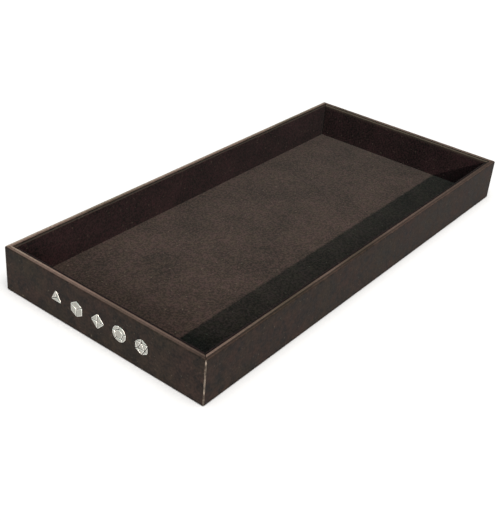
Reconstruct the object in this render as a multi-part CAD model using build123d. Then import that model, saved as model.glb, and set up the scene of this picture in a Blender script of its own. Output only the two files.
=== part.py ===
"""A folding dice tray: a flat base with four walls that stand on it and fold outwards.

The base and the walls are greyboard panels under one skin of leatherette. The skin
is the hinge: it runs from under the base, round the bottom edge and up each wall,
so a wall turns about its bottom outer edge until it lies flat on the table. The
walls meet at 45 degree mitres, and disc magnets buried beside the mitres hold them
upright. Suede-covered card lines the floor and the inner faces.

Frame: millimetres, +Z up, origin on the table under the centre of the tray.
+X runs along the long side and the front wall faces -Y.

A wall is drawn in its own frame first: x along the wall with 0 at its middle,
y inwards from its outer face, z up from the table. Then it is turned into place.
"""

import math
import os
from dataclasses import dataclass

from build123d import *

# Overall size
TRAY_LENGTH = 400.0
TRAY_WIDTH = 186.0
TRAY_HEIGHT = 36.0

# Sheet and board thicknesses
SKIN = 0.75
BASE_BOARD = 2.0
BASE_LINER = 0.2
WALL_BOARD = 3.0
FLOOR_CARD = 0.5
WALL_CARD = 1.0
SUEDE = 0.8

# Clearances
SEAT_GAP = 0.25  # between the base liner and a standing wall's bottom
MITRE_GAP = 0.3  # between the mitred ends of two walls
LINING_GAP = 0.3  # round the floor lining and under the wall lining
MAGNET_PLAY = 0.1  # between a magnet and its pocket, on the radius and the depth

# Wrapped edges and turned-in skin
RIM_RADIUS = 0.9
TIP_RADIUS = 0.4
FOLD_RADIUS = 1.0
SUEDE_RADIUS = 0.5
LINING_DROP = 0.6  # the lining's top edge below the rim
TURN_IN = 12.0  # skin turned on to a wall board's inner face
UNDER_TURN = 14.0  # width of the hinge strip under the base

# Magnets
MAGNET_DIAMETER = 8.0
MAGNET_THICKNESS = 2.0
MAGNET_END_DISTANCE = 13.0  # from the tray's corner to a magnet's centre
MAGNET_EDGE_DISTANCE = 8.0  # from a wall board's top or bottom to a magnet's centre

# Foil emblem: a row of dice, drawn as separate facets
ICON_RADIUS = 6.5
ICON_PITCH = 20.0
PENTAGON_SHARE = 0.6  # a twelve-sided die's front facet, as a share of its outline
TRIANGLE_SHARE = 0.55  # a twenty-sided die's front facet, the same
FACET_GAP = 0.6
FOIL = 0.12

# Sizes that follow
WRAPPED = SKIN + WALL_BOARD + SKIN
BASE_TOP = SKIN + BASE_BOARD + BASE_LINER
WALL_BOTTOM = BASE_TOP + SEAT_GAP
FLOOR_TOP = BASE_TOP + FLOOR_CARD + SUEDE
LINING_BOTTOM = FLOOR_TOP + LINING_GAP
LINING_TOP = TRAY_HEIGHT - LINING_DROP
BOARD_BOTTOM = WALL_BOTTOM + SKIN
BOARD_TOP = TRAY_HEIGHT - SKIN
MITRE_INSET = MITRE_GAP / 2
BOARD_INSET = MITRE_INSET + SKIN
WALL_MIDDLE = TRAY_HEIGHT / 2


@dataclass(frozen=True)
class Side:
    """One of the four sides: how long its wall is and where it stands."""

    name: str
    run: float
    turn: float

    @property
    def reach(self):
        """Distance from the tray's centre to this wall's outer face."""
        return TRAY_WIDTH / 2 if self.turn in (0, 180) else TRAY_LENGTH / 2

    def place(self, shape):
        """Turns a shape from the wall's own frame into the tray's frame."""
        return Rot(0, 0, self.turn) * Pos(0, -self.reach, 0) * shape


SIDES = (
    Side("front", TRAY_LENGTH, 0),
    Side("right", TRAY_WIDTH, 90),
    Side("back", TRAY_LENGTH, 180),
    Side("left", TRAY_WIDTH, -90),
)


def mitred(run, near, far, low, high, inset, tip=0.0):
    """A strip of wall between two depths and two heights, mitred at both ends.

    inset is how far its ends stand back from the true mitre, square to it.
    tip rounds the two sharp corners on the near side.
    """

    def half(depth):
        return run / 2 - depth - inset * math.sqrt(2)

    outline = Polyline(
        (-half(near), near),
        (half(near), near),
        (half(far), far),
        (-half(far), far),
        close=True,
    )
    plan = make_face(outline)
    if tip:
        plan = fillet(plan.vertices().group_by(Axis.Y)[0], tip)
    return Pos(0, 0, low) * extrude(plan, high - low)


def rail(run, near, far, top, radius_near, radius_far):
    """A long bar from the table to a height, its two upper edges rounded."""
    bar = Box(run, far - near, top, align=(Align.CENTER, Align.MIN, Align.MIN))
    bar = Pos(0, near, 0) * bar
    upper = bar.edges().filter_by(Axis.X).group_by(Axis.Z)[-1].sort_by(Axis.Y)
    if radius_near:
        bar = fillet(upper[0], radius_near)
        upper = bar.edges().filter_by(Axis.X).group_by(Axis.Z)[-1].sort_by(Axis.Y)
    return fillet(upper[-1], radius_far)


def wall_cover(run):
    """The leatherette round a wall board, open in a window behind the lining."""
    body = mitred(run, 0, WRAPPED, WALL_BOTTOM, TRAY_HEIGHT, MITRE_INSET, TIP_RADIUS)
    body &= rail(run, 0, WRAPPED, TRAY_HEIGHT, RIM_RADIUS, RIM_RADIUS)
    window = Box(
        run - 2 * (WRAPPED + TURN_IN),
        SKIN,
        TRAY_HEIGHT - WALL_BOTTOM - 2 * TURN_IN,
        align=(Align.CENTER, Align.MIN, Align.MIN),
    )
    return (
        body
        - mitred(run, SKIN, SKIN + WALL_BOARD, BOARD_BOTTOM, BOARD_TOP, BOARD_INSET)
        - Pos(0, SKIN + WALL_BOARD, WALL_BOTTOM + TURN_IN) * window
    )


def magnet_spots(run):
    """Where a wall's magnets sit, by name, as (x, z) of each disc's centre."""
    along = run / 2 - MAGNET_END_DISTANCE
    low = BOARD_BOTTOM + MAGNET_EDGE_DISTANCE
    high = BOARD_TOP - MAGNET_EDGE_DISTANCE
    return {
        f"{end}_{level}": (x, z)
        for end, x in (("left", -along), ("right", along))
        for level, z in (("low", low), ("high", high))
    }


def disc(spot, depth, radius, thickness):
    """A disc flush with the depth given, its axis square to the wall."""
    x, z = spot
    flat = Cylinder(radius, thickness, align=(Align.CENTER, Align.CENTER, Align.MIN))
    return Pos(x, depth, z) * Rot(90, 0, 0) * flat


def wall_board(run):
    """The greyboard core of a wall, with a blind pocket for each magnet."""
    board = mitred(run, SKIN, SKIN + WALL_BOARD, BOARD_BOTTOM, BOARD_TOP, BOARD_INSET)
    for spot in magnet_spots(run).values():
        board -= disc(
            spot,
            SKIN + WALL_BOARD,
            MAGNET_DIAMETER / 2 + MAGNET_PLAY,
            MAGNET_THICKNESS + MAGNET_PLAY,
        )
    return board


def lining_card(run):
    """The stiff card inside a wall's lining."""
    return mitred(
        run,
        WRAPPED,
        WRAPPED + WALL_CARD,
        LINING_BOTTOM,
        LINING_TOP - SUEDE,
        MITRE_INSET + SUEDE,
    )


def lining_suede(run):
    """The suede over a wall's lining card: its face, its top edge and its ends."""
    depth = WRAPPED + WALL_CARD + SUEDE
    body = mitred(run, WRAPPED, depth, LINING_BOTTOM, LINING_TOP, MITRE_INSET)
    body &= rail(run, WRAPPED, depth, LINING_TOP, 0, SUEDE_RADIUS)
    return body - mitred(
        run, WRAPPED, WRAPPED + WALL_CARD, 0, LINING_TOP - SUEDE, MITRE_INSET + SUEDE
    )


def fold_strip(run):
    """The part of the skin that bends: under the base's edge and up to the wall."""
    under = mitred(run, 0, UNDER_TURN, 0, SKIN, MITRE_INSET)
    upright = mitred(run, 0, SKIN, 0, WALL_BOTTOM, MITRE_INSET)
    strip = under + upright
    corner = strip.edges().filter_by(Axis.X).group_by(Axis.Z)[0].sort_by(Axis.Y)[0]
    return fillet(corner, FOLD_RADIUS)


def ring(count, radius):
    """Corners of a regular polygon about the origin, the first one straight up."""
    turns = [math.radians(90 + 360 * k / count) for k in range(count)]
    return [(radius * math.cos(t), radius * math.sin(t)) for t in turns]


def fan(points, step):
    """Facets that meet at the origin, each one taking step sides of a polygon."""
    closed = points + points[:1]
    starts = range(0, len(points), step)
    return [[(0.0, 0.0)] + closed[start : start + step + 1] for start in starts]


def petals(inner, outer):
    """Facets from each side of an inner polygon out to two sides of an outer one."""
    inner = inner + inner[:1]
    outer = outer + outer[:1]
    return [
        [inner[k]] + outer[2 * k : 2 * k + 3] + [inner[k + 1]]
        for k in range(len(inner) - 1)
    ]


def icon_facets():
    """The visible facets of five kinds of dice, in order along the row."""
    hexagon = ring(6, ICON_RADIUS)
    pentagon = ring(5, ICON_RADIUS * PENTAGON_SHARE)
    triangle = ring(3, ICON_RADIUS * TRIANGLE_SHARE)
    around = []
    for first, start, middle, end, last in petals(triangle, hexagon):
        around += [[first, start, middle], [first, middle, last], [last, middle, end]]
    return [
        fan(ring(3, ICON_RADIUS), 1),
        fan(hexagon[1:] + hexagon[:1], 2),
        fan(ring(4, ICON_RADIUS), 1),
        [pentagon] + petals(pentagon, ring(10, ICON_RADIUS)),
        [triangle] + around,
    ]


def foil_emblem():
    """The foil facets pressed into a wall's outer face, as separate solids."""
    facets = []
    icons = icon_facets()
    for place, icon in enumerate(icons):
        along = (place - (len(icons) - 1) / 2) * ICON_PITCH
        for corners in icon:
            outline = make_face(Polyline(*corners, close=True))
            leaf = offset(outline, -FACET_GAP / 2, kind=Kind.INTERSECTION)
            solid = Rot(90, 0, 0) * extrude(leaf, FOIL, dir=(0, 0, -1))
            facets.append(Pos(along, 0, WALL_MIDDLE) * solid)
    return facets


def plate(inset, low, high):
    """A flat sheet whose edges stand in from the tray's sides by inset."""
    sheet = Box(
        TRAY_LENGTH - 2 * inset,
        TRAY_WIDTH - 2 * inset,
        high - low,
        align=(Align.CENTER, Align.CENTER, Align.MIN),
    )
    return Pos(0, 0, low) * sheet


def base_parts():
    """The pieces of the base, by name."""
    board_top = SKIN + BASE_BOARD
    board = plate(SKIN + BASE_LINER, SKIN, board_top)
    lining_edge = WRAPPED + LINING_GAP
    card = plate(lining_edge + SUEDE, BASE_TOP, BASE_TOP + FLOOR_CARD)
    suede = plate(lining_edge, BASE_TOP, FLOOR_TOP)
    suede = fillet(suede.edges().group_by(Axis.Z)[-1], SUEDE_RADIUS)
    return {
        "base_cover": plate(UNDER_TURN, 0, SKIN),
        "base_board": board,
        "base_liner": plate(SKIN, SKIN, BASE_TOP) - board,
        "floor_card": card,
        "floor_suede": suede - card,
    }


def wall_parts(side):
    """The pieces of one wall and its hinge strip, by name, in the tray's frame."""
    parts = {
        "wall_cover": wall_cover(side.run),
        "wall_board": wall_board(side.run),
        "lining_card": lining_card(side.run),
        "lining_suede": lining_suede(side.run),
        "fold_strip": fold_strip(side.run),
    }
    for spot_name, spot in magnet_spots(side.run).items():
        parts[f"magnet_{spot_name}"] = disc(
            spot, SKIN + WALL_BOARD, MAGNET_DIAMETER / 2, MAGNET_THICKNESS
        )
    if side.name == "left":
        facets = foil_emblem()
        for facet in facets:
            parts["wall_cover"] -= facet
        parts["foil_emblem"] = Compound(children=facets)
    return {f"{side.name}_{name}": side.place(piece) for name, piece in parts.items()}


def main():
    os.makedirs("parts", exist_ok=True)
    parts = base_parts()
    for side in SIDES:
        parts.update(wall_parts(side))
    for name, piece in parts.items():
        export_step(piece, f"parts/{name}.step")


main()
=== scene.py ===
"""Looks of the folding dice tray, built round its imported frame.

Every length is in metres and every piece stands in the frame's own place. A wall is
worked out in its own plane first: x along the wall with 0 at its middle, depth
inwards from its outer face, and height above the table. Side.place then turns it
into the tray's frame.
"""

import logging
import math
from dataclasses import dataclass, field
from enum import Enum
from typing import Any

import bpy
import numpy as np
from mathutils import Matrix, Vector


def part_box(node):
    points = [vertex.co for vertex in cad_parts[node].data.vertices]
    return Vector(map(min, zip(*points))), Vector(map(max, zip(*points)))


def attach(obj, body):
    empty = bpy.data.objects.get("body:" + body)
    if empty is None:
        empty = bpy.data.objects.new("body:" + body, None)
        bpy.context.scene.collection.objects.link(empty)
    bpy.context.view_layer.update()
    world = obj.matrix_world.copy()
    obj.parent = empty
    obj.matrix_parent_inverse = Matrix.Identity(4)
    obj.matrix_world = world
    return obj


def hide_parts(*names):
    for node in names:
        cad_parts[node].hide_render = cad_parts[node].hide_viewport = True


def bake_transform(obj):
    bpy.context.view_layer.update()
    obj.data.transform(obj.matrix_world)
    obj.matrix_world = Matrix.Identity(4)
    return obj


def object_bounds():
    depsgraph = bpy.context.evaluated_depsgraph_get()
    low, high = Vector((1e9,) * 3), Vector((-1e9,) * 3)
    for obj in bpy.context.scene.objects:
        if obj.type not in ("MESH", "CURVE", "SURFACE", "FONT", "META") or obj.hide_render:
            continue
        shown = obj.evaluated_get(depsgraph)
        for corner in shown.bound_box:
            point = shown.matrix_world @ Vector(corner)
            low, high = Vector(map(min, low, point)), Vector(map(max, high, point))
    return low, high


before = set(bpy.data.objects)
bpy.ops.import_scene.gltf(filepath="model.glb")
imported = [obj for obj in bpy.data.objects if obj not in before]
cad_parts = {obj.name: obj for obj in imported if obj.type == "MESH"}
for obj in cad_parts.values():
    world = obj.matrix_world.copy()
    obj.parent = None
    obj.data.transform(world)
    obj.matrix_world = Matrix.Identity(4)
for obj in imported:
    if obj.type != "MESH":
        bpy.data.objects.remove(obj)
cad_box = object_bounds()

MM = 0.001
FLOOR_SEED = 11
WALL_SEED, WALL_SEED_STEP = 101, 17
ROOT_TWO = math.sqrt(2)
Colour = tuple[float, float, float]
Pair = tuple[float, float]
log = logging.getLogger("dice_tray")


# ---------------------------------------------------------------- shapes


def smoothstep(values: np.ndarray, low: float, high: float) -> np.ndarray:
    """Eases from 0 at low to 1 at high: 3 t^2 - 2 t^3, where t is the share of the way."""
    t = np.clip((values - low) / (high - low), 0.0, 1.0)
    return t * t * (3.0 - 2.0 * t)


def bell(values: np.ndarray, centre: float, width: float) -> np.ndarray:
    """A bell curve: e to the power of minus the square of (value - centre) / width."""
    return np.exp(-(((values - centre) / width) ** 2))


def arc(centre: Pair, radius: float, turn: Pair, count: int) -> np.ndarray:
    """Points at centre + radius (cos a, sin a), with a spaced evenly over the turn's degrees."""
    angle = np.radians(np.linspace(turn[0], turn[1], count))
    return np.stack([centre[0] + radius * np.cos(angle), centre[1] + radius * np.sin(angle)], 1)


def straight(start: Pair, end: Pair, count: int) -> np.ndarray:
    """Points spaced evenly from start to end, both included."""
    return np.linspace(start, end, count)


@dataclass(frozen=True)
class Waves:
    """Gentle unevenness, given as wave lengths in metres and a height for each length."""

    lengths: tuple[float, ...]
    heights: tuple[float, ...]
    headings: int = 3

    def over(self, first: np.ndarray, second: np.ndarray, seed: int) -> np.ndarray:
        """Spreads the waves over a surface of two parameters.

        Args:
            first: the surface's first parameter, in metres.
            second: its second parameter, in metres.
            seed: sets the waves' headings and phases.

        Returns:
            The sum of height sin(2 pi d / length + phase), with d measured along the
            heading of each wave. The waves of one length share its height.
        """
        rng = np.random.default_rng(seed)
        total = np.zeros(np.broadcast(first, second).shape)
        for length, height in zip(self.lengths, self.heights):
            for heading, phase in rng.uniform(0.0, 2.0 * math.pi, (self.headings, 2)):
                along = first * math.cos(heading) + second * math.sin(heading)
                total += height / self.headings * np.sin(2.0 * math.pi * along / length + phase)
        return total


def grid_quads(rows: int, columns: int, closed: bool) -> np.ndarray:
    """Quads of a grid of points stored row by row.

    Args:
        rows: how many rows of points.
        columns: how many points in a row.
        closed: whether the last point of a row joins the first one.

    Returns:
        The four corner numbers of each quad.
    """
    across = columns if closed else columns - 1
    row = np.arange(rows - 1)[:, None] * columns
    here = np.arange(across)[None, :]
    ahead = (here + 1) % columns
    corners = [row + here, row + ahead, row + columns + ahead, row + columns + here]
    return np.stack(corners, -1).reshape(-1, 4)


@dataclass
class Surface:
    """Points and faces of a mesh in the making, with values held at its points."""

    points: np.ndarray
    faces: list[list[int]]
    values: dict[str, np.ndarray] = field(default_factory=dict)

    def volume(self) -> float:
        """Works out the volume inside the faces.

        Returns:
            The sum of a . (b x c) / 6 over the triangles that each face fans into,
            above 0 when the faces point outwards.
        """
        total = 0.0
        for size in {len(face) for face in self.faces}:
            corners = self.points[np.array([f for f in self.faces if len(f) == size])]
            a, b, c = corners[:, :1], corners[:, 1:-1], corners[:, 2:]
            total += float((a * np.cross(b, c)).sum() / 6.0)
        return total

    def facing(self, outwards: bool) -> "Surface":
        """Turns the faces of a closed surface one way.

        Args:
            outwards: whether they face out; a hollow's faces face into it.

        Returns:
            This surface.
        """
        if (self.volume() > 0.0) != outwards:
            self.faces = [face[::-1] for face in self.faces]
        return self

    def joined(self, other: "Surface") -> "Surface":
        """Puts two surfaces together.

        Args:
            other: the surface to add.

        Returns:
            Both as one mesh. A value that only one of them holds is 0 on the other.
        """
        shift = len(self.points)
        faces = self.faces + [[shift + number for number in face] for face in other.faces]
        values = {}
        for name in sorted({*self.values, *other.values}):
            parts = [part.values.get(name, np.zeros(len(part.points))) for part in (self, other)]
            values[name] = np.concatenate(parts)
        return Surface(np.concatenate([self.points, other.points]), faces, values)

    def make(self, name: str, material: bpy.types.Material, sharp_angle: float = 50.0) -> bpy.types.Object:
        """Makes the Blender object.

        Args:
            name: the piece's name.
            material: its finish.
            sharp_angle: edges that turn by more than this, in degrees, are shaded sharp.

        Returns:
            The new object, at the origin, with its place in its mesh.
        """
        mesh = bpy.data.meshes.new(name)
        mesh.from_pydata(self.points.tolist(), [], self.faces)
        mesh.polygons.foreach_set("use_smooth", np.ones(len(self.faces), bool))
        for label, held in self.values.items():
            layer = mesh.attributes.new(label, "FLOAT", "POINT")
            layer.data.foreach_set("value", held.astype(np.float32))
        mesh.materials.append(material)
        mesh.update()
        mesh.set_sharp_from_angle(angle=math.radians(sharp_angle))
        piece = bpy.data.objects.new(name, mesh)
        bpy.context.scene.collection.objects.link(piece)
        return piece


# ---------------------------------------------------------------- sizes and sides


@dataclass(frozen=True)
class TraySizes:
    """Sizes that several pieces share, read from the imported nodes."""

    half_length: float
    half_width: float
    rim: float
    skin: float
    wrapped: float
    mitre_pull: float
    wall_bottom: float
    under_turn: float
    lining_depth: float
    lining_bottom: float
    lining_top: float
    board_depths: Pair
    board_heights: Pair
    board_pull: float
    floor_half: Pair
    floor_heights: Pair

    @classmethod
    def read(cls) -> "TraySizes":
        """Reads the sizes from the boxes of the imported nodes.

        Returns:
            The sizes, with depths measured inwards from a wall's outer face.
        """
        low, high = cad_box
        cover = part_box("front_wall_cover")
        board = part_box("front_wall_board")
        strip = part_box("front_fold_strip")
        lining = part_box("front_lining_suede")
        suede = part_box("floor_suede")
        near = low.y
        return cls(
            half_length=high.x,
            half_width=high.y,
            rim=high.z,
            skin=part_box("base_cover")[1].z,
            wrapped=cover[1].y - near,
            mitre_pull=high.x - strip[1].x,
            wall_bottom=cover[0].z,
            under_turn=strip[1].y - near,
            lining_depth=lining[1].y - near,
            lining_bottom=lining[0].z,
            lining_top=lining[1].z,
            board_depths=(board[0].y - near, board[1].y - near),
            board_heights=(board[0].z, board[1].z),
            board_pull=high.x - board[1].x - (board[0].y - near),
            floor_half=(suede[1].x, suede[1].y),
            floor_heights=(suede[0].z, suede[1].z),
        )


@dataclass(frozen=True)
class RimWearAndPaintedLight:
    """How far a wall's rim is painted paler or darker, from 0 up: its ridges by wear and a painted
    highlight, its groove by painted shade, and its lining, paler at its upper edge.

    The paling starts at a depth, in metres. The two ridges' wear and painted highlight drift by so much
    from the wall's middle to its right end, as seen from outside.
    """

    outer: float
    inner: float
    groove: float
    lining_edge: float = 0.0
    lining_face: float = 0.0
    start: float = 0.0
    drift: Pair = (0.0, 0.0)


@dataclass(frozen=True)
class WearAndPaintedLightBands:
    """Where the skin's wear, painted highlight and painted shade fade, as pairs of places that they ease
    between.

    rim: below the top of the rim, as a share of the outer rounding and in metres.
    groove: the width of the groove's painted shade, as a share of its shape's.
    inner_ridge: where the outer ridge's wear and painted highlight give way to the inner one's, as shares
    of the wrapped board's thickness.
    start: half the stretch over which the paling starts.
    back: before the wrapped board's inner face.
    corner: behind the outer face, at the ends.
    rounding, cap: in the ends' rounding, as the sine of its turn.
    The cut corner is steadily pale, with a paler chip high up, at a place below the
    rim, and one low down, at a place above the table. Each chip's place is followed by
    its width and its strength.
    """

    rim: Pair = (0.75, 0.1 * MM)
    groove: float = 0.8
    inner_ridge: Pair = (0.35, 0.65)
    start: float = 0.45 * MM
    back: Pair = (1.0 * MM, 0.3 * MM)
    corner: Pair = (0.05 * MM, 0.5 * MM)
    rounding: Pair = (0.1, 0.5)
    cap: Pair = (0.85, 1.0)
    steady: float = 0.55
    high_chip: tuple[float, float, float] = (1.9 * MM, 0.8 * MM, 1.0)
    low_chip: tuple[float, float, float] = (9.5 * MM, 1.1 * MM, 0.4)


class Side(Enum):
    """The four sides: the turn that brings each one's wall into place, and its rim's wear, painted
    highlight and painted shade.
    """

    # A rim's outer and inner values pale its ridges by wear and a painted highlight, past 1 with a
    # brighter painted highlight; groove sets the painted shade in its groove.
    FRONT = (0.0, RimWearAndPaintedLight(outer=0.25, inner=0.68, groove=0.05, drift=(0.08, -0.32)))
    RIGHT = (90.0, RimWearAndPaintedLight(outer=0.80, inner=1.00, groove=0.50, lining_edge=1.0, lining_face=0.24))
    BACK = (180.0, RimWearAndPaintedLight(outer=1.50, inner=1.05, groove=0.10, lining_edge=0.3))
    LEFT = (
        -90.0,
        RimWearAndPaintedLight(outer=0.64, inner=0.95, groove=0.25, start=0.7 * MM, drift=(-0.36, -0.50)),
    )

    def __init__(self, turn: float, wear_and_light: RimWearAndPaintedLight) -> None:
        """Keeps the side's turn, in degrees, and how its rim is painted with wear, highlight and shade."""
        self.turn = turn
        self.wear_and_light = wear_and_light

    @property
    def label(self) -> str:
        """The side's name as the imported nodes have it."""
        return self.name.lower()

    @property
    def is_long(self) -> bool:
        """Whether the wall runs along the tray's long side."""
        return self in (Side.FRONT, Side.BACK)

    def half_run(self, sizes: TraySizes) -> float:
        """Half the wall's length."""
        return sizes.half_length if self.is_long else sizes.half_width

    def place(
        self, along: np.ndarray, depth: np.ndarray, height: np.ndarray, sizes: TraySizes
    ) -> np.ndarray:
        """Turns points from the wall's plane into the tray's frame.

        Args:
            along: places along the wall.
            depth: depths inwards from its outer face.
            height: heights above the table.
            sizes: the tray's sizes.

        Returns:
            The points, one to a row.
        """
        reach = sizes.half_width if self.is_long else sizes.half_length
        turn = math.radians(self.turn)
        x, y = along, depth - reach
        across = x * math.cos(turn) - y * math.sin(turn)
        onward = x * math.sin(turn) + y * math.cos(turn)
        return np.stack([across, onward, height], -1).reshape(-1, 3)


# ---------------------------------------------------------------- shader maths


@dataclass
class Value:
    """A socket's output that takes part in Python arithmetic by adding Math nodes."""

    graph: "Graph"
    socket: bpy.types.NodeSocket

    def __add__(self, other: "Number") -> "Value":
        """The sum."""
        return self.graph.maths("ADD", self, other)

    def __sub__(self, other: "Number") -> "Value":
        """The difference."""
        return self.graph.maths("SUBTRACT", self, other)

    def __mul__(self, other: "Number") -> "Value":
        """The product."""
        return self.graph.maths("MULTIPLY", self, other)

    def __rsub__(self, other: float) -> "Value":
        """A number less this value."""
        return self.graph.maths("SUBTRACT", other, self)

    __radd__ = __add__
    __rmul__ = __mul__


Number = Value | float

# The Mix node's sockets for colours, by number: their names repeat for other data.
MIX_SHARE, MIX_FIRST, MIX_SECOND, MIX_RESULT = 0, 6, 7, 2


@dataclass(frozen=True)
class Mottle:
    """Cloudy patches of about a size in metres.

    The noise below the first edge counts as 0 and above the second one as 1. Detail
    and rough are the noise's own: how many finer layers it has, and how strong each is.
    """

    size: float
    edges: Pair
    detail: float = 3.0
    rough: float = 0.5


class Graph:
    """The node tree of one material, with one Principled surface."""

    def __init__(self, name: str, constants: dict[str, Any]) -> None:
        """Starts a material.

        Args:
            name: the material's name.
            constants: the Principled sockets that are the same all over the surface.
        """
        self.material = bpy.data.materials.new(name)
        self.material.use_nodes = True
        self.tree = self.material.node_tree
        self.shader = next(n for n in self.tree.nodes if n.type == "BSDF_PRINCIPLED")
        for socket, constant in constants.items():
            self.shader.inputs[socket].default_value = constant

    def node(
        self, kind: str, settings: dict[str, Any], sockets: dict[Any, Any], output: Any = 0
    ) -> Value:
        """Adds any node.

        Args:
            kind: the node's type.
            settings: its own settings, set first; "stops" gives a ramp's two stops, each
                as a place and a shade of grey.
            sockets: a value or a link for each input, by name or number.
            output: the output wanted, by name or number.

        Returns:
            That output.
        """
        made = self.tree.nodes.new(kind)
        for setting, chosen in settings.items():
            if setting == "stops":
                for element, (place, shade) in zip(made.color_ramp.elements, chosen):
                    element.position = place
                    element.color = (shade, shade, shade, 1.0)
            else:
                setattr(made, setting, chosen)
        for socket, given in sockets.items():
            self.feed(made.inputs[socket], given)
        return Value(self, made.outputs[output])

    def feed(self, socket: bpy.types.NodeSocket, given: Any) -> None:
        """Links or sets one input socket.

        Args:
            socket: the input.
            given: a value to link, or the number, colour or vector to set.
        """
        if isinstance(given, Value):
            self.tree.links.new(given.socket, socket)
        elif isinstance(given, tuple) and socket.type == "RGBA":
            socket.default_value = (*given, 1.0)
        else:
            socket.default_value = given

    def surface(self, **sockets: Any) -> bpy.types.Material:
        """Feeds the Principled surface.

        Args:
            sockets: what each socket is given; underscores in a name stand for spaces.

        Returns:
            The finished material.
        """
        for socket, given in sockets.items():
            self.feed(self.shader.inputs[socket.replace("_", " ")], given)
        return self.material

    def maths(self, operation: str, *terms: Number) -> Value:
        """A Math node on numbers or values."""
        return self.node("ShaderNodeMath", {"operation": operation}, dict(enumerate(terms)))

    def place(self) -> Value:
        """The point on the piece, in the piece's own coordinates."""
        return self.node("ShaderNodeTexCoord", {}, {}, "Object")

    def held(self, name: str) -> Value:
        """A value that the mesh holds at its points; 0 where the mesh has none."""
        return self.node("ShaderNodeAttribute", {"attribute_name": name}, {}, "Fac")

    def noise(self, size: float, detail: float = 3.0, rough: float = 0.5) -> Value:
        """Cloudy noise with features of about a size in metres."""
        sockets = {"Vector": self.place(), "Scale": 1.0 / size, "Detail": detail, "Roughness": rough}
        return self.node("ShaderNodeTexNoise", {}, sockets)

    def pebbles(self, size: float) -> Value:
        """Distance to the middle of the nearest pebble, for pebbles of a size in metres."""
        sockets = {"Vector": self.place(), "Scale": 1.0 / size, "Randomness": 1.0}
        return self.node("ShaderNodeTexVoronoi", {"feature": "SMOOTH_F1"}, sockets, "Distance")

    def ramp(self, value: Value, low: float, high: float) -> Value:
        """0 below low, 1 above high and straight between them."""
        settings = {"stops": [(low, 0.0), (high, 1.0)]}
        return self.node("ShaderNodeValToRGB", settings, {"Fac": value}, "Color")

    def mottle(self, look: Mottle) -> Value:
        """Cloudy patches, from 0 to 1."""
        return self.ramp(self.noise(look.size, look.detail, look.rough), *look.edges)

    def blend(self, share: Number, first: Any, second: Any) -> Value:
        """Mixes two colours: the first at share 0 and the second at share 1."""
        sockets = {MIX_SHARE: share, MIX_FIRST: first, MIX_SECOND: second}
        return self.node("ShaderNodeMix", {"data_type": "RGBA"}, sockets, MIX_RESULT)

    def bump(self, height: Value, strength: float, distance: float) -> Value:
        """A normal bent by a height of 0 to 1, which stands for a distance in metres."""
        sockets = {"Height": height, "Strength": strength, "Distance": distance}
        return self.node("ShaderNodeBump", {}, sockets)


# ---------------------------------------------------------------- finishes


@dataclass(frozen=True)
class Leatherette:
    """Fine-grained coated cloth, paler along its cut corners and on the rim's crest, where wear and a
    painted highlight pale it, and darker in the rim's groove by painted shade.
    """

    name: str
    dark: Colour = (0.0, 0.0, 0.0)
    light: Colour = (0.0245, 0.0135, 0.0105)
    shot: Colour = (0.0215, 0.0148, 0.0100)
    # The crest colours pale the rim by wear and a painted highlight, the colour after them is a painted
    # highlight alone, and groove is painted shade.
    crest: Colour = (0.200, 0.135, 0.115)
    dull_crest: Colour = (0.105, 0.078, 0.060)
    painted_highlight: Colour = (0.480, 0.420, 0.340)
    groove: Colour = (0.060, 0.042, 0.036)
    cut: Colour = (0.620, 0.520, 0.430)
    speck: Colour = (0.120, 0.105, 0.080)
    roughness: float = 0.62
    clouds: Mottle = Mottle(7 * MM, (0.38, 0.62), 5.0, 0.65)
    grain: Mottle = Mottle(1.8 * MM, (0.32, 0.68), 3.0, 0.6)
    specks: Mottle = Mottle(1.7 * MM, (0.72, 0.80), 1.0)
    shot_patches: Mottle = Mottle(30 * MM, (0.38, 0.62), 3.0, 0.6)
    rubbing_and_sheen: Mottle = Mottle(2.4 * MM, (0.25, 0.65), 4.0, 0.65)
    wear_and_sheen_lengths: Mottle = Mottle(90 * MM, (0.40, 0.60), 1.0)
    chips: Mottle = Mottle(4.5 * MM, (0.40, 0.60))
    pebble: float = 0.9 * MM

    def make(self) -> bpy.types.Material:
        """Builds the material: mottled colour, edges paled by wear and a painted highlight, painted shade
        in the rim's groove and a pebbled grain.

        The rim's crest pales up to the crest colour at 1, by wear and a painted highlight, and past 1 it
        brightens further into a painted highlight.

        Returns:
            The finished material.
        """
        graph = Graph(self.name, {"Specular IOR Level": 0.13})
        cloud, fine = graph.mottle(self.clouds), graph.mottle(self.grain)
        base = graph.blend(graph.mottle(self.shot_patches), self.light, self.shot)
        colour = graph.blend(cloud * 0.5 + fine * 0.5, self.dark, base)
        colour = graph.blend(graph.mottle(self.specks) * 0.35, colour, self.speck)
        # Crest: wear and a painted highlight on the rim's ridges.
        crest = graph.held("crest") * (graph.mottle(self.rubbing_and_sheen) * 0.35 + 0.65)
        pale = graph.blend(graph.mottle(self.wear_and_sheen_lengths), self.dull_crest, self.crest)
        colour = graph.blend(graph.maths("MINIMUM", crest, 1.0), colour, pale)
        # Past 1 the crest brightens into a painted highlight.
        colour = graph.blend(graph.maths("MAXIMUM", crest - 1.0, 0.0), colour, self.painted_highlight)
        # Painted shade in the rim's groove.
        colour = graph.blend(graph.held("groove"), colour, self.groove)
        cut = graph.held("cut") * (graph.mottle(self.chips) * 0.75 + 0.25)
        colour = graph.blend(cut, colour, self.cut)
        grain = graph.pebbles(self.pebble) * 0.6 + fine * 0.4
        return graph.surface(
            Base_Color=colour,
            Roughness=self.roughness + cloud * 0.10 - graph.held("crest") * 0.06,
            Normal=graph.bump(grain, 0.35, 0.12 * MM),
        )


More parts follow.
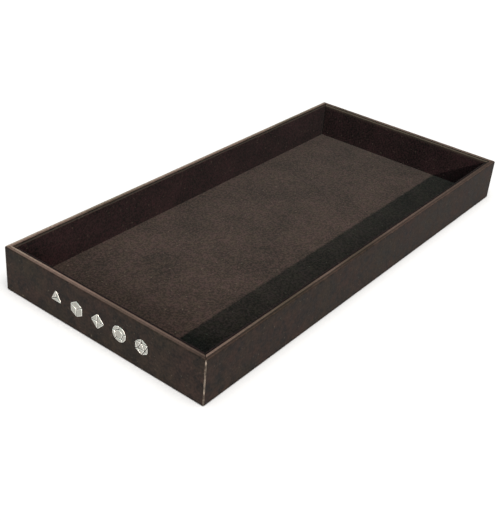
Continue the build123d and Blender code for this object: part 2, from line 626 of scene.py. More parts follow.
@dataclass(frozen=True)
class Suede:
    """Short-napped cloth, mottled where the nap lies this way and that."""

    name: str
    dark: Colour = (0.008, 0.005, 0.003)
    light: Colour = (0.064, 0.036, 0.033)
    shot: Colour = (0.057, 0.037, 0.028)
    sheen: float = 0.06
    speck_share: float = 0.5
    speck: Colour = (0.150, 0.130, 0.095)
    edge: Colour = (0.078, 0.062, 0.047)
    patches: Mottle = Mottle(38 * MM, (0.38, 0.62), 6.0, 0.62)
    flecks: Mottle = Mottle(1.6 * MM, (0.44, 0.56), 2.0, 0.7)
    shot_flecks: Mottle = Mottle(6.0 * MM, (0.42, 0.58), 4.0, 0.7)
    specks: Mottle = Mottle(2.1 * MM, (0.69, 0.76), 1.0)
    nap_size: float = 0.55 * MM

    def make(self) -> bpy.types.Material:
        """Builds the material: broad patches, a coarse fleck and a fine nap.

        Returns:
            The finished material.
        """
        constants = {"Specular IOR Level": 0.03, "Sheen Weight": self.sheen, "Sheen Roughness": 0.6}
        graph = Graph(self.name, constants)
        fleck = graph.mottle(self.flecks)
        nap = graph.noise(self.nap_size, 2.0, 0.6)
        lie = graph.mottle(self.patches) * 0.32 + fleck * 0.54 + nap * 0.14
        base = graph.blend(graph.mottle(self.shot_flecks), self.light, self.shot)
        colour = graph.blend(lie, self.dark, base)
        colour = graph.blend(graph.held("edge"), colour, self.edge)
        colour = graph.blend(graph.mottle(self.specks) * self.speck_share, colour, self.speck)
        height = nap * 0.5 + fleck * 0.5
        return graph.surface(
            Base_Color=colour,
            Roughness=0.86 + fleck * 0.12,
            Normal=graph.bump(height, 0.6, 0.25 * MM),
        )


@dataclass(frozen=True)
class Fibreboard:
    """Uncoated board, card or paper: a flat tone with pulp fibres in it."""

    name: str
    tone: Colour
    fibre: Colour
    roughness: float = 0.9
    pulp_size: float = 3.0 * MM
    fibres: Mottle = Mottle(0.5 * MM, (0.45, 0.75), 2.0)

    def make(self) -> bpy.types.Material:
        """Builds the material: clouded pulp with short paler fibres.

        Returns:
            The finished material.
        """
        graph = Graph(self.name, {"Specular IOR Level": 0.2})
        pulp = graph.noise(self.pulp_size, 5.0, 0.7)
        fibres = graph.mottle(self.fibres)
        colour = graph.blend(pulp * 0.5 + fibres * 0.5, self.tone, self.fibre)
        return graph.surface(
            Base_Color=colour,
            Roughness=self.roughness - fibres * 0.08,
            Normal=graph.bump(fibres, 0.3, 0.08 * MM),
        )


@dataclass(frozen=True)
class Metal:
    """Foil or plating: a bright tone, brushed or clouded a little by its backing."""

    name: str
    tone: Colour
    dull: Colour
    roughness: float
    grain: float
    border: Colour

    def make(self) -> bpy.types.Material:
        """Builds the material: a metal whose gloss varies over its grain.

        Returns:
            The finished material.
        """
        graph = Graph(self.name, {"Metallic": 1.0})
        cloud = graph.noise(self.grain, 4.0, 0.6)
        colour = graph.blend(cloud, self.dull, self.tone)
        # A plate's border gets a paler colour: a painted highlight.
        colour = graph.blend(graph.held("border"), colour, self.border)
        return graph.surface(
            Base_Color=colour,
            Roughness=self.roughness + cloud * 0.15,
            Normal=graph.bump(cloud, 0.25, 0.05 * MM),
        )


# ---------------------------------------------------------------- pieces


@dataclass
class Lining:
    """A sheet of suede stretched over a card, with rolled edges.

    The sheet is worked out as if laid flat: two parameters run across the face and on
    over its edges. Beyond an edge it rolls back through a quarter turn and then runs
    straight back until it is as deep as the panel.

    half: half the face's length.
    low, high: where the face starts and ends across its length.
    depth: how far back the rolled edges reach.
    flare: 1 where the ends are mitred, so that the sheet widens as it drops, or 0.
    rolled_low: whether the low edge rolls back too.
    ragged: how strongly the upper edge frays, over fray_reach below it.
    """

    half: float
    low: float
    high: float
    depth: float
    flare: float
    rolled_low: bool
    seed: int
    roll: float = 0.5 * MM
    roll_rows: int = 5
    back_rows: int = 2
    cloth: float = 0.65 * MM
    step: float = 2.0 * MM
    ragged: float = 0.0
    fray: Waves = Waves((2.6 * MM, 5.3 * MM, 14 * MM), (0.9, 0.7, 0.6))
    fray_reach: float = 2 * MM
    slack: Waves = Waves((60 * MM, 21 * MM, 9 * MM), (0.05 * MM, 0.05 * MM, 0.05 * MM))

    def beyond(self) -> np.ndarray:
        """Lays the rolled rows flat.

        Returns:
            How far past the start of its roll each row lies, round and then back.
        """
        quarter = self.roll * math.pi / 2.0
        back = quarter + self.depth - self.roll
        rolled = np.linspace(0.0, quarter, self.roll_rows + 1)[1:]
        return np.concatenate([rolled, np.linspace(quarter, back, self.back_rows + 1)[1:]])

    def laid_flat(self, low: float, high: float, rolls: tuple[bool, bool]) -> np.ndarray:
        """One parameter of the flat sheet.

        Args:
            low: where the face starts.
            high: where it ends.
            rolls: whether the sheet rolls back past its start and its end.

        Returns:
            Even steps across the face, with the rolled rows before and after it.
        """
        start = low + (self.roll if rolls[0] else 0.0)
        end = high - (self.roll if rolls[1] else 0.0)
        face = np.linspace(start, end, max(3, round((end - start) / self.step) + 1))
        before = start - self.beyond()[::-1] if rolls[0] else face[:0]
        after = end + self.beyond() if rolls[1] else face[:0]
        return np.concatenate([before, face, after])

    def surface(self) -> tuple[np.ndarray, np.ndarray, np.ndarray, np.ndarray]:
        """Works out the sheet.

        Past the roll's start, the distance e splits into a sideways reach
        r sin(e / r) and a drop r (1 - cos(e / r)), up to a quarter turn, and then into
        drop alone. At a corner the larger of the two distances counts, and the reach
        goes along the line between them, so the corner comes out round. A mitred
        sheet also widens with its drop. The upper edge frays and the face lies
        unevenly, each by its own waves.

        Returns:
            Places along, heights and drops behind the face, and 1 on the face and 0
            on the rolled edges, all as grids.
        """
        flat_x = self.laid_flat(-self.half, self.half, (True, True))
        flat_z = self.laid_flat(self.low, self.high, (self.rolled_low, True))
        x, z = np.meshgrid(flat_x, flat_z, indexing="ij")
        inner_x = self.half - self.roll
        inner_low = self.low + (self.roll if self.rolled_low else 0.0)
        inner_high = self.high - self.roll
        held_x = np.clip(x, -inner_x, inner_x)
        held_z = np.clip(z, inner_low, inner_high)
        past_x, past_z = x - held_x, z - held_z
        past = np.maximum(np.abs(past_x), np.abs(past_z))
        span = np.maximum(np.hypot(past_x, past_z), 1e-9)
        turn = np.minimum(past / self.roll, math.pi / 2.0)
        reach = self.roll * np.sin(turn)
        drop = self.roll * (1.0 - np.cos(turn)) + np.maximum(past - self.roll * math.pi / 2.0, 0.0)
        along = (held_x + reach * past_x / span) * (1.0 + self.flare * drop / self.half)
        frayed = self.ragged * self.fray.over(x, 0.0 * x, self.seed)
        upper = smoothstep(z, self.high - self.fray_reach, self.high)
        height = held_z + reach * past_z / span + frayed * upper
        face = 1.0 - smoothstep(past, 0.0, self.roll)
        drop = drop + face * self.slack.over(x, z, self.seed + 1)
        return along, height, drop, face

    def flat_size(self) -> Pair:
        """Measures the sheet as it is cut.

        Returns:
            Its length and its height: the face and what rolls back past each edge.
        """
        back = float(self.beyond()[-1]) - self.roll
        rolled_edges = 2.0 if self.rolled_low else 1.0
        return 2.0 * (self.half + back), self.high - self.low + rolled_edges * back

    def thicken(self, piece: bpy.types.Object) -> None:
        """Gives the sheet the thickness of its cloth, behind its face.

        Args:
            piece: the sheet's object.
        """
        solid = piece.modifiers.new("cloth", "SOLIDIFY")
        solid.thickness = self.cloth
        solid.offset = -1.0
        solid.use_even_offset = True


@dataclass
class WallPanel:
    """One wall: its wrapped board, the fold along its foot and its lining.

    The groove between the rim's two ridges lies at a share of the wrapped board's thickness. The rim's
    waves reach down by rim_reach and run rim_crossing times quicker across the rim than along it. The
    skin's waves die out over calm_ends, a share of half the wall. The height bend_start is not used for
    the shape.
    """

    side: Side
    sizes: TraySizes
    leatherette: bpy.types.Material
    suede: bpy.types.Material
    greyboard: bpy.types.Material
    card: bpy.types.Material
    nickel: bpy.types.Material
    seed: int
    bands: WearAndPaintedLightBands = WearAndPaintedLightBands()
    step: float = 2.0 * MM
    fold_radius: float = 1.0 * MM
    outer_round: float = 1.05 * MM
    inner_round: float = 0.8 * MM
    foot_round: float = 0.3 * MM
    foot_turn: Pair = (-18.0, -90.0)
    face_set_back: float = 0.06 * MM
    groove_share: float = 0.52
    groove_width: float = 0.30 * MM
    groove_depth: float = 0.20 * MM
    end_round: float = 0.3 * MM
    end_rows: int = 4
    face_waves: Waves = Waves((110 * MM, 43 * MM, 17 * MM), (0.05 * MM, 0.04 * MM, 0.025 * MM))
    rim_waves: Waves = Waves((57 * MM, 19 * MM, 7 * MM), (0.06 * MM, 0.05 * MM, 0.035 * MM))
    rim_reach: float = 2.0 * MM
    rim_crossing: float = 6.0
    calm_ends: float = 0.04
    bend_start: float = 0.85 * MM
    lining_drop: float = 0.1 * MM
    lining_ragged: float = 0.20 * MM
    lining_seed_step: int = 7
    edge_fade: float = 1.0 * MM
    face_fade: float = 3.0 * MM

    @property
    def label(self) -> str:
        """The side's name."""
        return self.side.label

    def outline(self) -> np.ndarray:
        """Draws the skin's closed section.

        It runs under the base, round the fold, up the outer face, over the rim's two
        ridges, down behind the board, under it, and back down inside the fold. The
        rim between the ridges dips by a bell curve of its depth.

        Returns:
            The section's points, as depth and height.
        """
        s = self.sizes
        out = self.face_set_back
        rim, back = s.rim, s.wrapped
        ridge_start, ridge_end = out + self.outer_round, back - self.inner_round
        across = np.linspace(ridge_start, ridge_end, 17)[1:-1]
        dip = self.groove_depth * bell(across, back * self.groove_share, self.groove_width)
        bend = np.linspace(self.fold_radius, s.wall_bottom, 8)[1:]
        upright = np.linspace(s.wall_bottom, rim - self.outer_round, 14)[1:-1]
        face = np.concatenate([bend, upright])
        foot = (back - self.foot_round, s.wall_bottom + self.foot_round)
        stretches = [
            straight((s.under_turn, 0.0), (2.0 * self.fold_radius, 0.0), 4),
            arc((self.fold_radius, self.fold_radius), self.fold_radius, (-90.0, -180.0), 7),
            np.stack([out * smoothstep(face, self.fold_radius, s.wall_bottom), face], 1),
            arc((ridge_start, rim - self.outer_round), self.outer_round, (180.0, 90.0), 9),
            np.stack([across, rim - dip], 1),
            arc((ridge_end, rim - self.inner_round), self.inner_round, (90.0, 0.0), 7),
            straight((back, rim - 2.0 * self.inner_round), (back, s.wall_bottom + self.foot_round), 5),
            arc(foot, self.foot_round, self.foot_turn, 4),
            straight((s.skin + self.foot_round, s.wall_bottom), (s.skin, s.wall_bottom), 2),
            straight((s.skin, s.wall_bottom - self.foot_round), (s.skin, s.skin), 6),
            straight((2.0 * self.fold_radius, s.skin), (s.under_turn, s.skin), 4),
        ]
        return np.concatenate(stretches)

    @staticmethod
    def inward(outline: np.ndarray) -> np.ndarray:
        """Finds which way is in along a closed outline.

        Args:
            outline: its points, clockwise about its inside.

        Returns:
            At each point, the unit normal of the line between its two neighbours.
        """
        along = np.roll(outline, -1, 0) - np.roll(outline, 1, 0)
        normal = np.stack([along[:, 1], -along[:, 0]], 1)
        return normal / np.linalg.norm(normal, axis=1, keepdims=True)

    def stations(self) -> tuple[np.ndarray, np.ndarray]:
        """Rows along the wall.

        Returns:
            For each row, its place from -1 to 1 between the mitres, and the angle, in
            radians, that the rounding of the ends has turned through there.
        """
        half = self.side.half_run(self.sizes)
        middle = np.linspace(-1.0, 1.0, 2 * round(half / self.step) + 1)
        rounding = np.linspace(0.0, math.pi / 2.0, self.end_rows + 1)
        end = np.ones(self.end_rows)
        place = np.concatenate([-end, middle, end])
        turned = np.concatenate([rounding[:0:-1], np.zeros(len(middle)), rounding[1:]])
        return place, turned

    def skin_surface(self) -> Surface:
        """Carries the skin's section along the wall.

        A point of the section at depth d reaches to half the wall's length less d, so
        the ends are cut on the mitre. In the last rows the section draws in by
        r (1 - cos a) and stands back from the mitre by r (1 - sin a), which rounds the
        ends. The face and the rim stray inwards and down by gentle waves, which die
        out at the ends.

        Returns:
            The skin's outer surface, closed at both ends.
        """
        s = self.sizes
        outline = self.outline()
        place, turned = self.stations()
        shrink = self.end_round * (1.0 - np.cos(turned))
        stand_back = self.end_round * (1.0 - np.sin(turned)) * ROOT_TWO
        section = outline[None] + shrink[:, None, None] * self.inward(outline)[None]
        depth, height = section[..., 0], section[..., 1]
        reach = self.side.half_run(s) - s.mitre_pull - depth - stand_back[:, None]
        along = place[:, None] * reach
        upper = smoothstep(height, s.wall_bottom, s.rim)
        top = smoothstep(height, s.rim - self.rim_reach, s.rim)
        inner = smoothstep(1.0 - np.abs(place), 0.0, self.calm_ends)[:, None]
        lean = self.face_waves.over(along, height, self.seed)
        sag = self.rim_waves.over(along, depth * self.rim_crossing, self.seed + 1)
        depth = depth + np.abs(lean) * upper * inner
        height = height - np.abs(sag) * top * inner
        rows, columns = along.shape
        faces = grid_quads(rows, columns, closed=True).tolist()
        faces.append(list(range(columns)))
        faces.append(list(range((rows - 1) * columns, rows * columns))[::-1])
        points = self.side.place(along, depth, height, s)
        values = self.wear_and_light_marks(outline, place, turned)
        return Surface(points, faces, values).facing(outwards=True)

    def wear_and_light_marks(self, outline: np.ndarray, place: np.ndarray, turned: np.ndarray) -> dict[str, np.ndarray]:
        """Where the skin shows wear, painted highlight and painted shade.

        Args:
            outline: the section.
            place: how far along the wall each row stands, from -1 to 1.
            turned: how far each row has turned with the rounding of the ends.

        Returns:
            For each point: crest, on the rim's ridges, wear and a painted highlight; groove, between them,
                painted shade; and cut, along the outer corner, where the skin's pale backing shows.
        """
        s, bands, wear_and_light = self.sizes, self.bands, self.side.wear_and_light
        depth, height = outline[:, 0], outline[:, 1]
        rim_share, rim_top = bands.rim
        near_rim = smoothstep(height, s.rim - self.outer_round * rim_share, s.rim - rim_top)
        middle = bell(depth, s.wrapped * self.groove_share, self.groove_width * bands.groove)
        inner = smoothstep(depth, *(s.wrapped * share for share in bands.inner_ridge))
        start = (wear_and_light.start - bands.start, wear_and_light.start + bands.start)
        begun = smoothstep(depth, *start) if wear_and_light.start else 1.0
        ended = smoothstep(depth, *(s.wrapped - before for before in bands.back))
        outer_ridge, inner_ridge = (
            ridge + drift * place[:, None]
            for ridge, drift in zip((wear_and_light.outer, wear_and_light.inner), wear_and_light.drift)
        )
        ridges = outer_ridge + (inner_ridge - outer_ridge) * inner
        # crest is wear and a painted highlight on the ridges.
        crest = ridges * near_rim * (1.0 - middle * wear_and_light.groove) * begun * (1.0 - ended)
        # groove is painted shade between the ridges.
        groove = near_rim * middle * wear_and_light.groove
        below, high_width, high_share = bands.high_chip
        above, low_width, low_share = bands.low_chip
        high = high_share * bell(height, s.rim - below, high_width)
        low = low_share * bell(height, above, low_width)
        pale = np.minimum(bands.steady + high + low, 1.0)
        corner = (1.0 - smoothstep(depth, *bands.corner)) * pale
        cut = smoothstep(np.sin(turned), *bands.rounding)[:, None] * corner[None]
        off_cap = 1.0 - smoothstep(np.sin(turned), *bands.cap)
        values = {"crest": crest, "groove": groove[None], "cut": cut}
        return {name: (off_cap[:, None] * held).ravel() for name, held in values.items()}

    def hollow_surface(self) -> Surface:
        """Makes room for the board inside the skin.

        Returns:
            A box cut on the mitre at both ends, with its faces turned inwards.
        """
        s = self.sizes
        (near, far), (low, high) = s.board_depths, s.board_heights
        corners = np.array([(near, low), (near, high), (far, high), (far, low)])
        depth, height = np.tile(corners[:, 0], (2, 1)), np.tile(corners[:, 1], (2, 1))
        reach = self.side.half_run(s) - s.board_pull - depth
        along = np.array([[-1.0], [1.0]]) * reach
        faces = grid_quads(2, 4, closed=True).tolist() + [[0, 1, 2, 3], [7, 6, 5, 4]]
        return Surface(self.side.place(along, depth, height, s), faces).facing(outwards=False)

    def build_skin(self) -> bpy.types.Object:
        """Makes the skin, which bends from the base into the wall at its foot.

        Returns:
            The skin's object.
        """
        s = self.sizes
        surface = self.skin_surface().joined(self.hollow_surface())
        piece = surface.make(f"{self.label}_skin", self.leatherette)
        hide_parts(f"{self.label}_wall_cover", f"{self.label}_fold_strip")
        heights = np.array([self.bend_start, s.wall_bottom])
        start, end = self.side.place(np.zeros(2), np.zeros(2), heights, s)
        f"{self.label}_wall"
        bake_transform(piece)
        return piece

    def build_lining(self) -> bpy.types.Object:
        """Makes the suede over the wall's lining card, paler at its upper edge.

        Returns:
            The lining's object.
        """
        s = self.sizes
        half = self.side.half_run(s) - s.mitre_pull - s.lining_depth
        depth = s.lining_depth - s.wrapped
        sheet = Lining(
            half=half,
            low=s.lining_bottom - self.lining_drop,
            high=s.lining_top,
            depth=depth,
            flare=1.0,
            rolled_low=True,
            seed=self.seed + self.lining_seed_step,
            ragged=self.lining_ragged,
        )
        along, height, drop, face = sheet.surface()
        points = self.side.place(along, s.lining_depth - drop, height, s)
        faces = grid_quads(*along.shape, closed=False).tolist()
        wear_and_light, top = self.side.wear_and_light, s.lining_top
        on_edge = wear_and_light.lining_edge * (1.0 - face) * smoothstep(height, top - self.edge_fade, top)
        on_face = wear_and_light.lining_face * face * smoothstep(height, top - self.face_fade, top)
        surface = Surface(points, faces, {"edge": (on_edge + on_face).ravel()})
        piece = surface.make(f"{self.label}_lining", self.suede)
        face_inwards(piece, self.side)
        sheet.thicken(piece)
        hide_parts(f"{self.label}_lining_suede")
        sheet.flat_size()
        f"{self.label}_lining_card"
        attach(piece, f"{self.label}_wall")
        return piece

    def dress_core(self) -> list[str]:
        """Gives the board, the card and the magnets their finishes.

        Returns:
            The names of their nodes.
        """
        finishes = {f"{self.label}_wall_board": self.greyboard, f"{self.label}_lining_card": self.card}
        magnets = [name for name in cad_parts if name.startswith(f"{self.label}_magnet")]
        finishes.update(dict.fromkeys(magnets, self.nickel))
        for node, finish in finishes.items():
            dress(node, finish)
        return list(finishes)

    def build(self) -> None:
        """Builds and dresses the whole wall."""
        for piece in (self.build_skin(), self.build_lining()):
            report(piece)
        log.info("dressed %s", ", ".join(self.dress_core()))


def face_inwards(piece: bpy.types.Object, side: Side | None) -> None:
    """Turns an open sheet's faces to the room inside the tray.

    Args:
        piece: the sheet's object.
        side: the wall that it lines; without one it lies flat, and its faces turn up.
    """
    turn = math.radians(side.turn) if side else 0.0
    wanted = np.array([-math.sin(turn), math.cos(turn), 0.0]) if side else np.array([0.0, 0.0, 1.0])
    mesh = piece.data
    normals = np.empty(len(mesh.polygons) * 3, np.float32)
    mesh.polygons.foreach_get("normal", normals)
    if (normals.reshape(-1, 3) @ wanted).sum() < 0.0:
        mesh.flip_normals()


def dress(node: str, finish: bpy.types.Material) -> None:
    """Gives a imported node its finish.

    Args:
        node: its name.
        finish: the material for all its slots.
    """
    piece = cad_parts[node]
    for slot in piece.material_slots:
        slot.material = finish


def report(piece: bpy.types.Object) -> None:
    """Logs a finished piece."""
    log.info("made %s: %d faces", piece.name, len(piece.data.polygons))


@dataclass
class FoilEmblem:
    """The row of foil dice icons, each facet a small plate with a rounded border.

    A plate stands proud of the skin by its rise, and its back is buried in the skin.
    Its border carries a painted highlight from its outer edge in, which fades from a share of its width
    on.
    """

    side: Side
    node: str
    sizes: TraySizes
    foil: bpy.types.Material
    rise: float = 0.20 * MM
    border: float = 0.45 * MM
    bright_from: float = 0.5
    buried: float = 0.22 * MM
    rounding_rows: int = 5
    same_place: int = 7
    same_plane: float = 0.01 * MM
    longest_chain: int = 64

    def outlines(self) -> list[np.ndarray]:
        """Reads the facets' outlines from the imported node.

        Corners that agree to so many decimals count as one, and corners joined by
        edges come to carry one number, which takes as many rounds as the longest chain
        of edges. A facet is the corners of one number that lie in the wall's outer
        plane, in order about their middle, because every facet is convex.

        Returns:
            For each facet, its corners as places along the wall and heights.
        """
        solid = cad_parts[self.node]
        mesh = solid.data
        spots = np.array([solid.matrix_world @ corner.co for corner in mesh.vertices])
        spots, where = np.unique(np.round(spots, self.same_place), axis=0, return_inverse=True)
        where = where.ravel()
        pairs = where[np.array([tuple(edge.vertices) for edge in mesh.edges])]
        number = np.arange(len(spots))
        for _ in range(self.longest_chain):
            lower = number[pairs].min(1)
            np.minimum.at(number, pairs[:, 0], lower)
            np.minimum.at(number, pairs[:, 1], lower)
        outer = spots[:, 0] < spots[:, 0].min() + self.same_plane
        facets = []
        for label in np.unique(number):
            flat = spots[(number == label) & outer][:, 1:] * (-1.0, 1.0)
            middle = flat.mean(0)
            order = np.argsort(np.arctan2(flat[:, 1] - middle[1], flat[:, 0] - middle[0]))
            facets.append(flat[order])
        return facets

    @staticmethod
    def inset(outline: np.ndarray, distance: float) -> np.ndarray:
        """Moves each side of a convex outline inwards.

        A corner moves by distance (n + m) / (1 + n . m), where n and m are the
        inward unit normals of its two sides.

        Args:
            outline: its corners in order.
            distance: how far the sides move.

        Returns:
            The smaller outline.
        """
        ahead = np.roll(outline, -1, 0) - outline
        normal = np.stack([-ahead[:, 1], ahead[:, 0]], 1)
        normal /= np.linalg.norm(normal, axis=1, keepdims=True)
        before = np.roll(normal, 1, 0)
        share = 1.0 + (normal * before).sum(1, keepdims=True)
        return outline + distance * (normal + before) / share

    def plate(self, outline: np.ndarray) -> Surface:
        """Makes one facet's plate: its outline rises over a quarter ellipse to a flat top.

        The border narrows on a small facet to its area over its girth, which is about
        half the way to its middle.

        Args:
            outline: the facet's corners.

        Returns:
            The plate, closed, with the painted highlight on its border marked.
        """
        ahead = np.roll(outline, -1, 0)
        cross = outline[:, 0] * ahead[:, 1] - outline[:, 1] * ahead[:, 0]
        area = abs(float(cross.sum())) / 2.0
        girth = float(np.linalg.norm(ahead - outline, axis=1).sum())
        border = min(self.border, area / girth)
        turn = np.linspace(0.0, math.pi / 2.0, self.rounding_rows)
        insets = np.concatenate([[0.0], border * (1.0 - np.cos(turn))])
        depths = np.concatenate([[self.buried], -self.rise * np.sin(turn)])
        rings = np.stack([self.inset(outline, distance) for distance in insets])
        depth = np.broadcast_to(depths[:, None], rings.shape[:2])
        points = self.side.place(rings[..., 0], depth, rings[..., 1], self.sizes)
        rows, columns = rings.shape[:2]
        faces = grid_quads(rows, columns, closed=True).tolist()
        faces += [list(range(columns))[::-1], list(range((rows - 1) * columns, rows * columns))]
        # The border's paler foil is a painted highlight.
        painted_highlight = np.repeat(1.0 - smoothstep(insets, self.bright_from * border, border), columns)
        return Surface(points, faces, {"border": painted_highlight}).facing(outwards=True)

    def build(self) -> None:
        """Makes the emblem, which rides on its wall."""
        plates = [self.plate(outline) for outline in self.outlines()]
        whole = plates[0]
        for other in plates[1:]:
            whole = whole.joined(other)
        piece = whole.make("foil_emblem", self.foil, sharp_angle=60.0)
        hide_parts(self.node)
        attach(piece, f"{self.side.label}_wall")
        report(piece)


@dataclass
class Base:
    """The flat middle of the tray: its suede floor and the layers under it."""

    sizes: TraySizes
    suede: bpy.types.Material
    leatherette: bpy.types.Material
    greyboard: bpy.types.Material
    card: bpy.types.Material
    paper: bpy.types.Material
    seed: int
    floor_cloth: float = 0.7 * MM

    def build_floor(self) -> bpy.types.Object:
        """Makes the suede over the floor card, its edges rolled down all round.

        Returns:
            The floor lining's object.
        """
        s = self.sizes
        half_x, half_y = s.floor_half
        low, high = s.floor_heights
        sheet = Lining(
            half=half_x,
            low=-half_y,
            high=half_y,
            depth=high - low,
            flare=0.0,
            rolled_low=True,
            seed=self.seed,
            cloth=self.floor_cloth,
        )
        x, y, drop, _ = sheet.surface()
        points = np.stack([x, y, high - drop], -1).reshape(-1, 3)
        faces = grid_quads(*x.shape, closed=False).tolist()
        piece = Surface(points, faces).make("floor_lining", self.suede)
        face_inwards(piece, None)
        sheet.thicken(piece)
        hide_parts("floor_suede")
        sheet.flat_size()
        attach(piece, "base")
        return piece

    def build(self) -> None:
        """Builds the floor and dresses the layers under it."""
        report(self.build_floor())
        finishes = {
            "base_cover": self.leatherette,
            "base_board": self.greyboard,
            "base_liner": self.paper,
            "floor_card": self.card,
        }
        for node, finish in finishes.items():
            dress(node, finish)
        log.info("dressed %s", ", ".join(finishes))


class LampKind(Enum):
    """How a lamp spreads: parallel rays, or a square panel at a distance."""

    SUN = "SUN"
    PANEL = "AREA"


@dataclass(frozen=True)
class Lamp:
    """A light, at an azimuth and elevation in degrees as seen from the tray.

    Its spread is the angle of a sun's disc in degrees, or a panel's side in metres.
    Its strength is what falls on a surface that faces it at the tray, in W/m2.
    """

    name: str
    kind: LampKind
    azimuth: float
    elevation: float
    strength: float
    spread: float
    colour: Colour
    distance: float = 1.25
    lights_table: bool = False

    def build(self, table: bpy.types.Object) -> None:
        """Makes the light, for the table alone or for all but the table.

        Args:
            table: the table top.
        """
        data = bpy.data.lights.new(self.name, self.kind.value)
        data.color = self.colour
        if self.kind is LampKind.SUN:
            data.energy = self.strength
            data.angle = math.radians(self.spread)
        else:
            data.energy = self.strength * math.pi * self.distance**2
            data.size = self.spread
        lamp = bpy.data.objects.new(self.name, data)
        turn, rise = math.radians(self.azimuth), math.radians(self.elevation)
        lamp.rotation_euler = (math.pi / 2.0 - rise, 0.0, turn)
        towards = (math.sin(turn) * math.cos(rise), -math.cos(turn) * math.cos(rise), math.sin(rise))
        lamp.location = Vector(towards) * self.distance
        bpy.context.scene.collection.objects.link(lamp)
        receivers = bpy.data.collections.new(f"{self.name}_receivers")
        receivers.objects.link(table)
        linked = receivers.collection_objects[0].light_linking
        linked.link_state = "INCLUDE" if self.lights_table else "EXCLUDE"
        lamp.light_linking.receiver_collection = receivers


# Each lamp's name, kind, azimuth, elevation, strength, spread and colour.
LAMPS = (
    Lamp("key_light", LampKind.SUN, -33.0, 28.5, 4.08, 1.0, (1.0, 0.80, 0.72)),
    Lamp("side_light", LampKind.PANEL, -70.0, 23.0, 2.05, 0.45, (1.0, 0.90, 0.84)),
    Lamp("sky_light", LampKind.SUN, -65.0, 28.0, 1.05, 110.0, (0.10, 1.0, 0.92)),
    Lamp("overhead_light", LampKind.SUN, -40.0, 75.0, 3.2, 50.0, (1.0, 0.99, 0.98), lights_table=True),
)


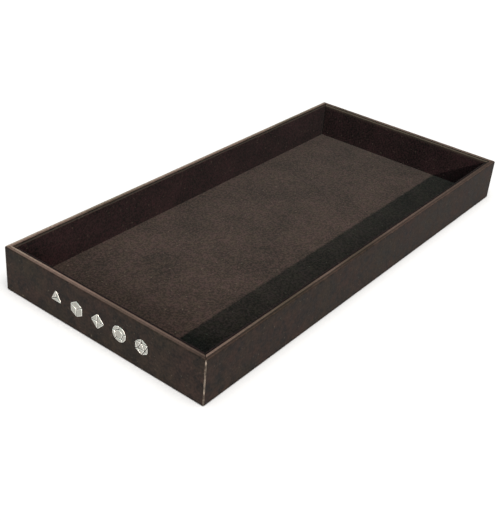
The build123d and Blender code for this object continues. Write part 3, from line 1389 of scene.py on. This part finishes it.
@dataclass
class Studio:
    """The table, the light and the camera, whose azimuth is measured as a lamp's is."""

    table_half: float = 6.0
    table_drop: float = 0.05 * MM
    table_tone: Colour = (0.93, 0.92, 0.91)
    lamps: tuple[Lamp, ...] = LAMPS
    fill_colour: Colour = (0.92, 0.98, 1.0)
    fill_strength: float = 0.22
    camera_azimuth: float = -53.44
    camera_elevation: float = 30.55
    camera_roll: float = 4.6
    camera_distance: float = 739 * MM
    camera_aim: tuple[float, float, float] = (-31.6 * MM, 17.3 * MM, 0.0)
    camera_lens: float = 63.5
    camera_shift: Pair = (0.028, -0.033)
    camera_sees: Pair = (0.01, 50.0)

    def build_table(self) -> bpy.types.Object:
        """Makes the plain pale table top.

        Returns:
            The table's object.
        """
        corners = np.array([(-1.0, -1.0), (1.0, -1.0), (1.0, 1.0), (-1.0, 1.0)]) * self.table_half
        points = np.concatenate([corners, np.full((4, 1), -self.table_drop)], 1)
        graph = Graph("table_top", {"Roughness": 0.9, "Specular IOR Level": 0.1})
        finish = graph.surface(Base_Color=self.table_tone)
        table = Surface(points, [[0, 1, 2, 3]]).make("table_top", finish)
        return table

    def build_light(self, table: bpy.types.Object) -> None:
        """Makes the lamps and the soft light all round.

        Args:
            table: the table top, which has a lamp of its own.
        """
        for lamp in self.lamps:
            lamp.build(table)
        world = bpy.data.worlds.new("soft_light")
        world.use_nodes = True
        background = world.node_tree.nodes["Background"]
        background.inputs["Color"].default_value = (*self.fill_colour, 1.0)
        background.inputs["Strength"].default_value = self.fill_strength
        bpy.context.scene.world = world

    def build_camera(self) -> None:
        """Stands the camera off its aim point by its azimuth, elevation and distance."""
        data = bpy.data.cameras.new("camera")
        data.lens = self.camera_lens
        data.shift_x, data.shift_y = self.camera_shift
        data.clip_start, data.clip_end = self.camera_sees
        camera = bpy.data.objects.new("camera", data)
        bpy.context.scene.collection.objects.link(camera)
        turn, rise = math.radians(self.camera_azimuth), math.radians(self.camera_elevation)
        level = math.cos(rise)
        back = Vector((math.sin(turn) * level, -math.cos(turn) * level, math.sin(rise)))
        upright = (-back).to_track_quat("-Z", "Y")
        roll = Matrix.Rotation(math.radians(self.camera_roll), 3, back)
        camera.rotation_mode = "QUATERNION"
        camera.rotation_quaternion = roll.to_quaternion() @ upright
        camera.location = Vector(self.camera_aim) + back * self.camera_distance
        bpy.context.scene.camera = camera

    def build(self) -> None:
        """Builds the studio."""
        self.build_light(self.build_table())
        self.build_camera()
        bpy.context.scene.view_settings.view_transform = "Standard"
        log.info("set up the studio")


GREYBOARD = Fibreboard("greyboard", tone=(0.20, 0.18, 0.155), fibre=(0.36, 0.33, 0.29))
CARD = Fibreboard("lining_card", tone=(0.26, 0.23, 0.20), fibre=(0.42, 0.39, 0.34))
PAPER = Fibreboard(
    "lining_paper", tone=(0.010, 0.009, 0.008), fibre=(0.028, 0.024, 0.021), roughness=0.8
)
NICKEL = Metal(
    "magnet",
    tone=(0.66, 0.65, 0.63),
    dull=(0.50, 0.49, 0.47),
    roughness=0.18,
    grain=2.0 * MM,
    border=(0.70, 0.69, 0.67),
)
# The foil's border colour is a painted highlight on the plates' rounded edges.
FOIL = Metal(
    "silver_foil",
    tone=(0.46, 0.45, 0.41),
    dull=(0.32, 0.31, 0.28),
    roughness=0.34,
    grain=1.2 * MM,
    border=(0.82, 0.81, 0.76),
)
# The walls' suede is a darker, redder copy of the floor's suede: painted shade standing in for the walls'
# darker look.
SHADED_WALL_SUEDE = Suede(
    "shaded_wall_suede",
    dark=(0.0, 0.0, 0.0),
    light=(0.019, 0.0075, 0.0090),
    shot=(0.017, 0.0080, 0.0085),
    sheen=0.03,
    speck_share=0.15,
)


def main() -> None:
    """Builds the tray in order, from the floor out, and then the studio."""
    logging.basicConfig(level=logging.INFO, format="%(name)s: %(message)s")
    sizes = TraySizes.read()
    greyboard, card, paper = GREYBOARD.make(), CARD.make(), PAPER.make()
    nickel, foil = NICKEL.make(), FOIL.make()
    leatherette = Leatherette("leatherette").make()
    floor_suede, shaded_wall_suede = Suede("floor_suede").make(), SHADED_WALL_SUEDE.make()

    Base(sizes, floor_suede, leatherette, greyboard, card, paper, FLOOR_SEED).build()
    for number, side in enumerate(Side):
        seed = WALL_SEED + WALL_SEED_STEP * number
        WallPanel(side, sizes, leatherette, shaded_wall_suede, greyboard, card, nickel, seed).build()
    FoilEmblem(Side.LEFT, "left_foil_emblem", sizes, foil).build()
    Studio().build()


if __name__ == "__main__":
    main()
